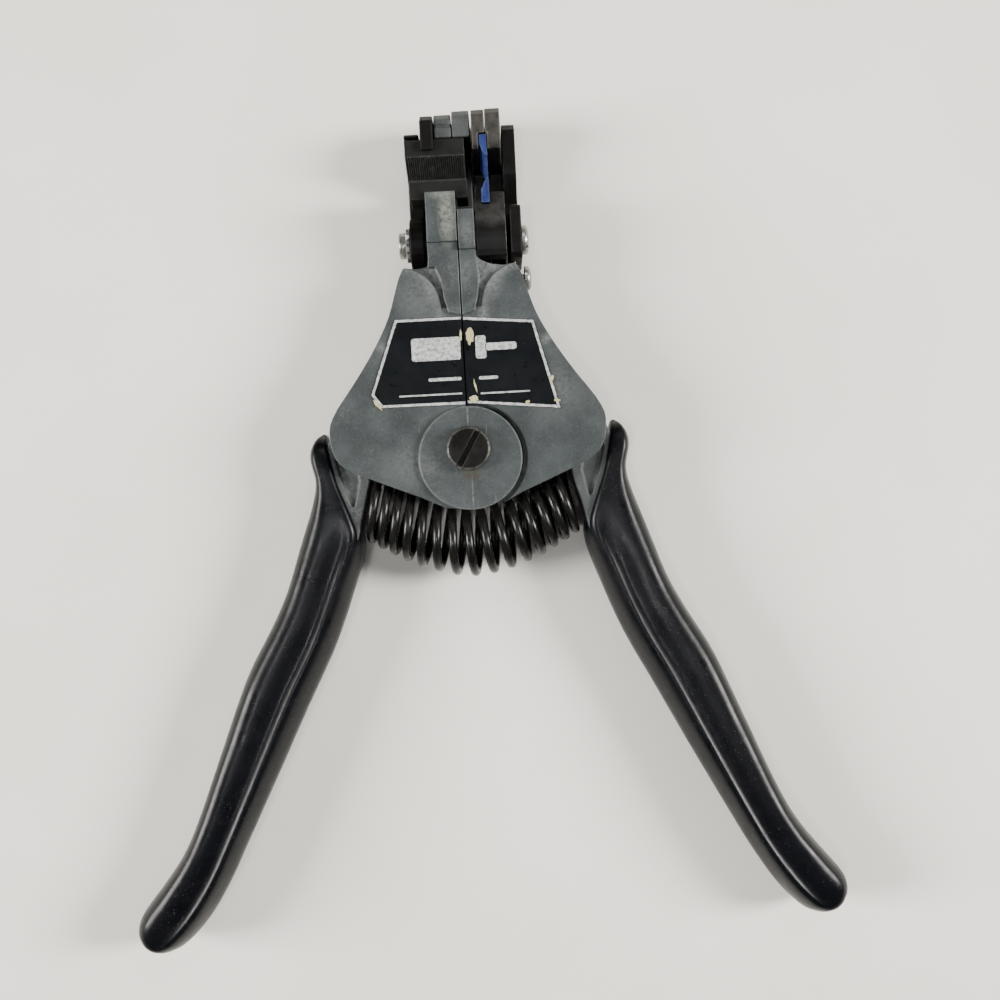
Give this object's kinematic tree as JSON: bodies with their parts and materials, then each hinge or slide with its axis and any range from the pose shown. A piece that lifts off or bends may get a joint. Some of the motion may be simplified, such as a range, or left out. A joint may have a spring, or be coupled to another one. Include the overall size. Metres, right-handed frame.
{
  "type": "wire stripper",
  "caption": "Automatic wire stripper lying flat, handles open: hinged die-cast frame halves, gripping and cutting jaws at the top, splayed sleeved handles with a bowed return spring.",
  "frame": {"origin": "main pivot axis at the back rest plane, the outer face of the main pivot nut", "axes": "+Y along the tool towards the jaws, +X towards the cutting head, +Z out of the labelled front"},
  "size_m": [0.1604, 0.1852, 0.023],
  "materials": {
    "zinc_casting": "blue-grey die-cast, mottled, satin",
    "worn_casting": "grey die-cast worn smooth at the tips",
    "dark_steel": "dark oxide, worn edges",
    "brown_steel": "aged brown-grey steel, satin",
    "bright_steel": "zinc-plated, slightly dulled",
    "oiled_steel": "black oiled spring steel",
    "vinyl": "glossy black dipped vinyl",
    "blue_steel": "blue blade coating",
    "label": "black foil label with a worn silver border"
  },
  "bodies": {
    "gripper_frame": {"gripper_frame": "zinc_casting", "main_pivot_screw": "dark_steel", "main_pivot_nut": "dark_steel", "main_pivot_bushing": "bright_steel", "gripper_handle_pin": "bright_steel", "gripper_label_half": "label", "gripper_frame_spring_post": "bright_steel", "gripper_lower_pad": "dark_steel", "gripper_pivot_screw": "bright_steel", "gripper_toothed_washer": "bright_steel", "frame_return_spring": "oiled_steel", "handle_spring": "oiled_steel"},
    "cutter_frame": {"cutter_frame": "zinc_casting", "cutter_handle_pin": "bright_steel", "cutter_label_half": "label", "cutter_frame_spring_post": "bright_steel", "cutter_lower_blade": "blue_steel", "cutter_lower_holder": "brown_steel", "cutter_guard_plate": "dark_steel", "cutter_pivot_screw": "bright_steel", "cutter_neck_screw": "bright_steel"},
    "gripper_handle": {"gripper_handle_casting": "zinc_casting", "gripper_handle_sleeve": "vinyl"},
    "cutter_handle": {"cutter_handle_casting": "zinc_casting", "cutter_handle_sleeve": "vinyl"},
    "gripper_jaw": {"gripper_jaw_lever": "worn_casting", "gripper_side_plate": "dark_steel", "gripper_pad_clip": "dark_steel", "gripper_upper_pad": "dark_steel"},
    "cutter_jaw": {"cutter_inner_plate": "brown_steel", "cutter_outer_plate": "brown_steel", "cutter_side_lever": "dark_steel", "cutter_upper_blade": "blue_steel"}
  },
  "joints": [
    {"name": "frame_spread", "type": "hinge", "parent": "gripper_frame", "child": "cutter_frame", "pos_m": [0, 0, 0.0102], "axis": [0, 0, -1], "range_deg": [0, 24], "stiffness_Nm_per_rad": 0.8, "springref_deg": -8.59, "deforming": ["frame_return_spring", "handle_spring"]},
    {"name": "gripper_handle_squeeze", "type": "hinge", "parent": "gripper_frame", "child": "gripper_handle", "pos_m": [-0.0232, 0.0032, 0.0102], "axis": [0, 0, 1], "range_deg": [0, 10], "stiffness_Nm_per_rad": 0.6, "springref_deg": -11.46, "deforming": ["handle_spring"]},
    {"name": "cutter_handle_squeeze", "type": "hinge", "parent": "cutter_frame", "child": "cutter_handle", "pos_m": [0.0232, 0.0032, 0.0102], "axis": [0, 0, -1], "range_deg": [0, 10], "stiffness_Nm_per_rad": 0.6, "springref_deg": -11.46, "deforming": ["handle_spring"]},
    {"name": "gripper_jaw_close", "type": "hinge", "parent": "gripper_frame", "child": "gripper_jaw", "pos_m": [-0.005, 0.0475, 0.0064], "axis": [1, 0, 0], "range_deg": [0, 25]},
    {"name": "cutter_jaw_close", "type": "hinge", "parent": "cutter_frame", "child": "cutter_jaw", "pos_m": [0.007, 0.0475, 0.0064], "axis": [1, 0, 0], "range_deg": [0, 25]}
  ],
  "couplings": [
    {"joint": "cutter_handle_squeeze", "follows": "gripper_handle_squeeze", "ratio": 1},
    {"joint": "gripper_jaw_close", "follows": "gripper_handle_squeeze", "ratio": 2.5},
    {"joint": "cutter_jaw_close", "follows": "gripper_handle_squeeze", "ratio": 2.5}
  ]
}
